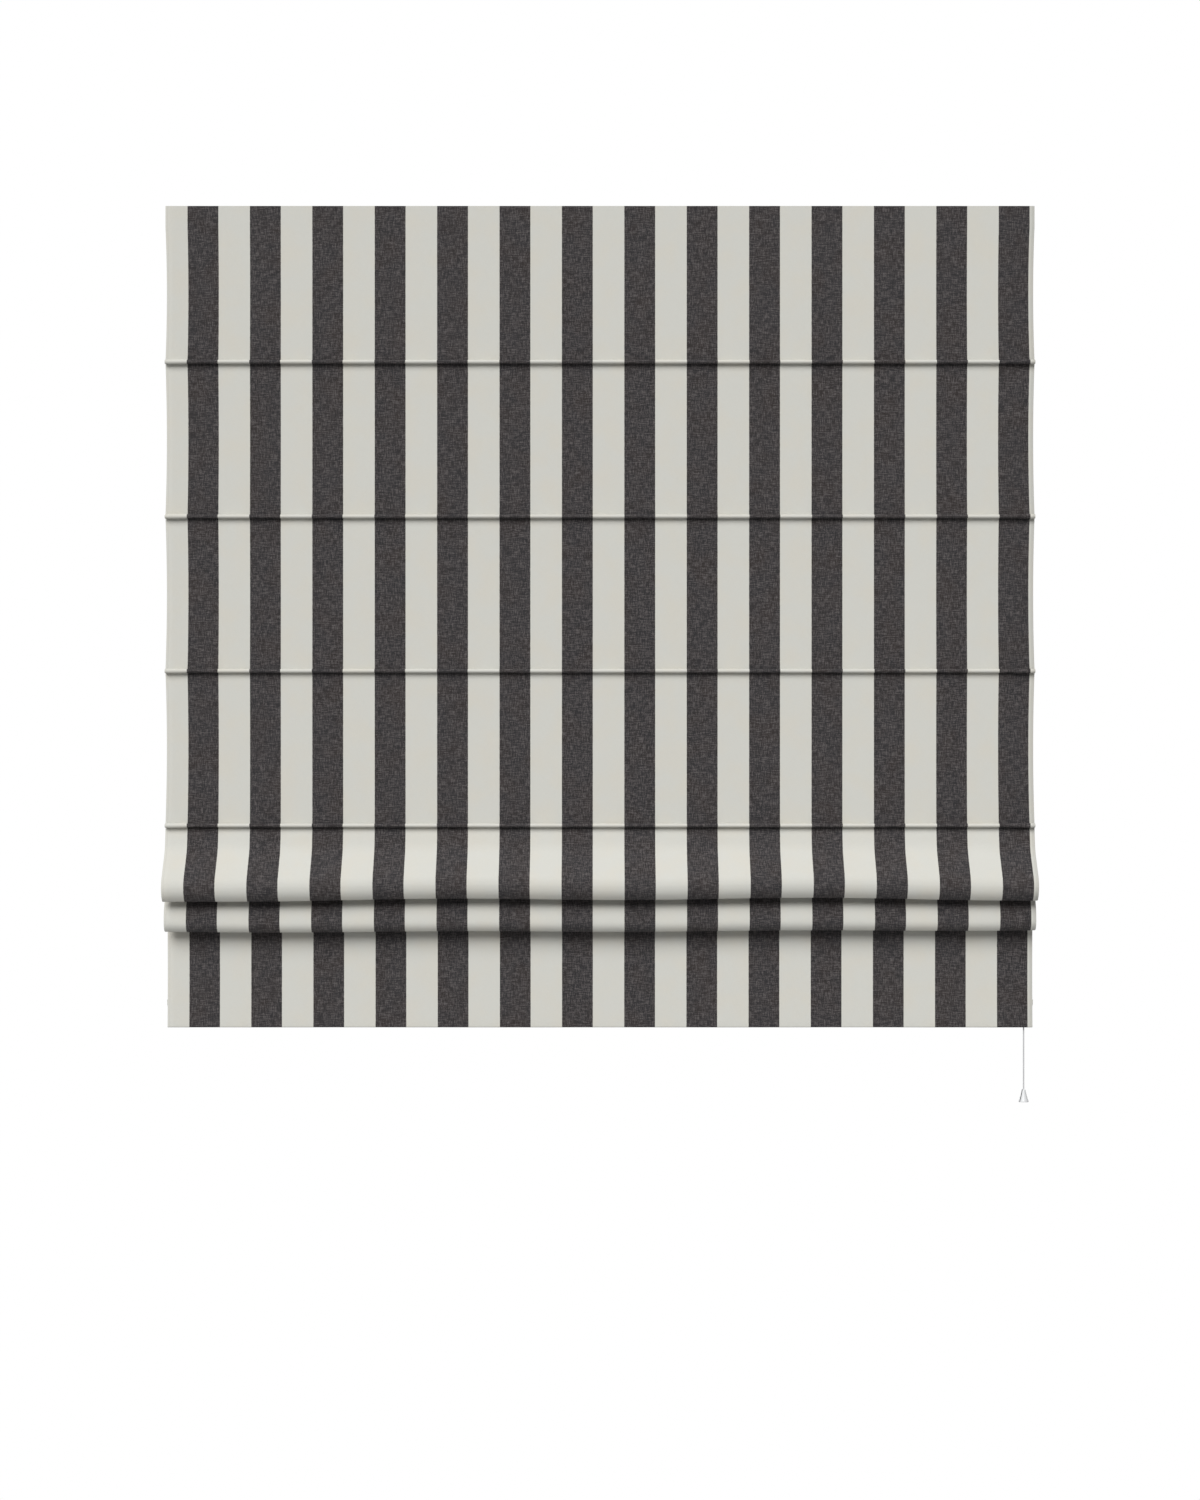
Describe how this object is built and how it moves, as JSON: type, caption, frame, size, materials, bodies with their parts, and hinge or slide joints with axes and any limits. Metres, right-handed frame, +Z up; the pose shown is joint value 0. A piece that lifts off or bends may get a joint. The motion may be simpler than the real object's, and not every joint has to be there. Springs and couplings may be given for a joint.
{
  "type": "roman blind",
  "caption": "Cord operated roman blind with striped canvas, batten tucks, soft folds, headrail, brackets, cord lock and bell pull.",
  "frame": {"origin": "centre of the middle bracket's back, on the wall plane", "axes": "+X along the blind to the right as seen from the room, +Y into the wall, +Z up"},
  "size_m": [1.3, 0.0836, 1.3435],
  "materials": {
    "striped_canvas": "plain woven canvas, cream with dark grey upright stripes",
    "tape": "white touch tape",
    "white_rail": "white powder coat on aluminium",
    "white_plastic": "moulded white plastic",
    "bracket_steel": "zinc plated sheet steel",
    "lever_plastic": "moulded white plastic",
    "steel_pin": "turned steel",
    "white_cord": "braided white polyester cord",
    "fibreglass": "pultruded fibreglass rod",
    "clear_ring": "clear moulded plastic ring",
    "bar": "rolled flat bar",
    "pull_plastic": "moulded pale plastic"
  },
  "bodies": {
    "root": {"cloth": "striped_canvas", "loop_tape": "tape", "hook_tape": "tape", "headrail": "white_rail", "end_cap_left": "white_plastic", "end_cap_right": "white_plastic", "bracket_1": "bracket_steel", "bracket_2": "bracket_steel", "bracket_3": "bracket_steel", "cord_guide_1": "white_plastic", "cord_guide_2": "white_plastic", "cord_guide_3": "white_plastic", "cord_guide_4": "white_plastic", "guide_axle_1": "steel_pin", "guide_axle_2": "steel_pin", "guide_axle_3": "steel_pin", "guide_axle_4": "steel_pin", "lock_housing": "white_plastic", "lock_pin": "steel_pin", "lift_cord_1": "white_cord", "lift_cord_2": "white_cord", "lift_cord_3": "white_cord", "lift_cord_4": "white_cord"},
    "batten_1": {"batten_1": "fibreglass", "rings_1": "clear_ring"},
    "batten_2": {"batten_2": "fibreglass", "rings_2": "clear_ring"},
    "batten_3": {"batten_3": "fibreglass", "rings_3": "clear_ring"},
    "batten_4": {"batten_4": "fibreglass", "rings_4": "clear_ring"},
    "batten_5": {"batten_5": "fibreglass", "rings_5": "clear_ring"},
    "batten_6": {"batten_6": "fibreglass", "rings_6": "clear_ring", "weight_bar": "bar", "weight_bar_ends": "white_plastic", "cord_stops": "white_plastic"},
    "pull": {"condenser": "pull_plastic", "pull_cord": "white_cord", "pull_bell": "pull_plastic", "pull_knot": "white_cord"},
    "guide_wheel_1": {"guide_wheel_1": "white_plastic"},
    "guide_wheel_2": {"guide_wheel_2": "white_plastic"},
    "guide_wheel_3": {"guide_wheel_3": "white_plastic"},
    "guide_wheel_4": {"guide_wheel_4": "white_plastic"},
    "lock_turn_wheel": {"lock_turn_wheel": "steel_pin"},
    "lock_jam_roller": {"lock_jam_roller": "steel_pin"},
    "bracket_lever_1": {"bracket_lever_1": "lever_plastic"},
    "bracket_lever_2": {"bracket_lever_2": "lever_plastic"},
    "bracket_lever_3": {"bracket_lever_3": "lever_plastic"}
  },
  "joints": [
    {"name": "batten_1_rise", "type": "slide", "parent": "root", "child": "batten_1", "axis": [0, 0, 1], "range_m": [0, 0.187], "deforming": ["cloth", "lift_cord_1", "lift_cord_2", "lift_cord_3", "lift_cord_4"]},
    {"name": "batten_2_rise", "type": "slide", "parent": "batten_1", "child": "batten_2", "axis": [0, 0, 1], "range_m": [0, 0.21], "deforming": ["cloth", "lift_cord_1", "lift_cord_2", "lift_cord_3", "lift_cord_4"]},
    {"name": "batten_3_rise", "type": "slide", "parent": "batten_2", "child": "batten_3", "axis": [0, 0, 1], "range_m": [0, 0.21], "deforming": ["cloth", "lift_cord_1", "lift_cord_2", "lift_cord_3", "lift_cord_4"]},
    {"name": "batten_4_rise", "type": "slide", "parent": "batten_3", "child": "batten_4", "axis": [0, 0, 1], "range_m": [0, 0.21], "deforming": ["cloth", "lift_cord_1", "lift_cord_2", "lift_cord_3", "lift_cord_4"]},
    {"name": "batten_5_rise", "type": "slide", "parent": "batten_4", "child": "batten_5", "axis": [0, 0, 1], "range_m": [-0.2055, 0], "deforming": ["cloth", "lift_cord_1", "lift_cord_2", "lift_cord_3", "lift_cord_4"]},
    {"name": "batten_6_rise", "type": "slide", "parent": "batten_5", "child": "batten_6", "axis": [0, 0, 1], "range_m": [-0.1627, 0.0473], "deforming": ["cloth", "lift_cord_1", "lift_cord_2", "lift_cord_3", "lift_cord_4"]},
    {"name": "pull_drop", "type": "slide", "parent": "root", "child": "pull", "axis": [0, 0, -1], "range_m": [-0.3682, 0.8643], "deforming": ["lift_cord_1", "lift_cord_2", "lift_cord_3", "lift_cord_4"]},
    {"name": "guide_wheel_1_turn", "type": "hinge", "parent": "root", "child": "guide_wheel_1", "pos_m": [-0.5703, -0.031, -0.003], "axis": [0, 1, 0], "continuous": true},
    {"name": "guide_wheel_2_turn", "type": "hinge", "parent": "root", "child": "guide_wheel_2", "pos_m": [-0.1873, -0.031, -0.003], "axis": [0, 1, 0], "continuous": true},
    {"name": "guide_wheel_3_turn", "type": "hinge", "parent": "root", "child": "guide_wheel_3", "pos_m": [0.1967, -0.031, -0.003], "axis": [0, 1, 0], "continuous": true},
    {"name": "guide_wheel_4_turn", "type": "hinge", "parent": "root", "child": "guide_wheel_4", "pos_m": [0.5797, -0.031, -0.003], "axis": [0, 1, 0], "continuous": true},
    {"name": "lock_turn_wheel_turn", "type": "hinge", "parent": "root", "child": "lock_turn_wheel", "pos_m": [0.6327, -0.0195, -0.003], "axis": [0, 1, 0], "continuous": true},
    {"name": "lock_release", "type": "slide", "parent": "root", "child": "lock_jam_roller", "axis": [-0.5, 0, 0.866], "range_m": [0, 0.004]},
    {"name": "bracket_lever_1_swing", "type": "hinge", "parent": "root", "child": "bracket_lever_1", "pos_m": [-0.5, -0.0247, 0.0153], "axis": [0, 0, 1], "range_deg": [0, 90]},
    {"name": "bracket_lever_2_swing", "type": "hinge", "parent": "root", "child": "bracket_lever_2", "pos_m": [0, -0.0247, 0.0153], "axis": [0, 0, 1], "range_deg": [0, 90]},
    {"name": "bracket_lever_3_swing", "type": "hinge", "parent": "root", "child": "bracket_lever_3", "pos_m": [0.5, -0.0247, 0.0153], "axis": [0, 0, 1], "range_deg": [0, 90]}
  ],
  "couplings": [
    {"joint": "guide_wheel_1_turn", "follows": "pull_drop", "rad_per_m": 212.77},
    {"joint": "guide_wheel_2_turn", "follows": "pull_drop", "rad_per_m": 212.77},
    {"joint": "guide_wheel_3_turn", "follows": "pull_drop", "rad_per_m": 212.77},
    {"joint": "guide_wheel_4_turn", "follows": "pull_drop", "rad_per_m": 212.77},
    {"joint": "lock_turn_wheel_turn", "follows": "pull_drop", "rad_per_m": 212.77}
  ]
}
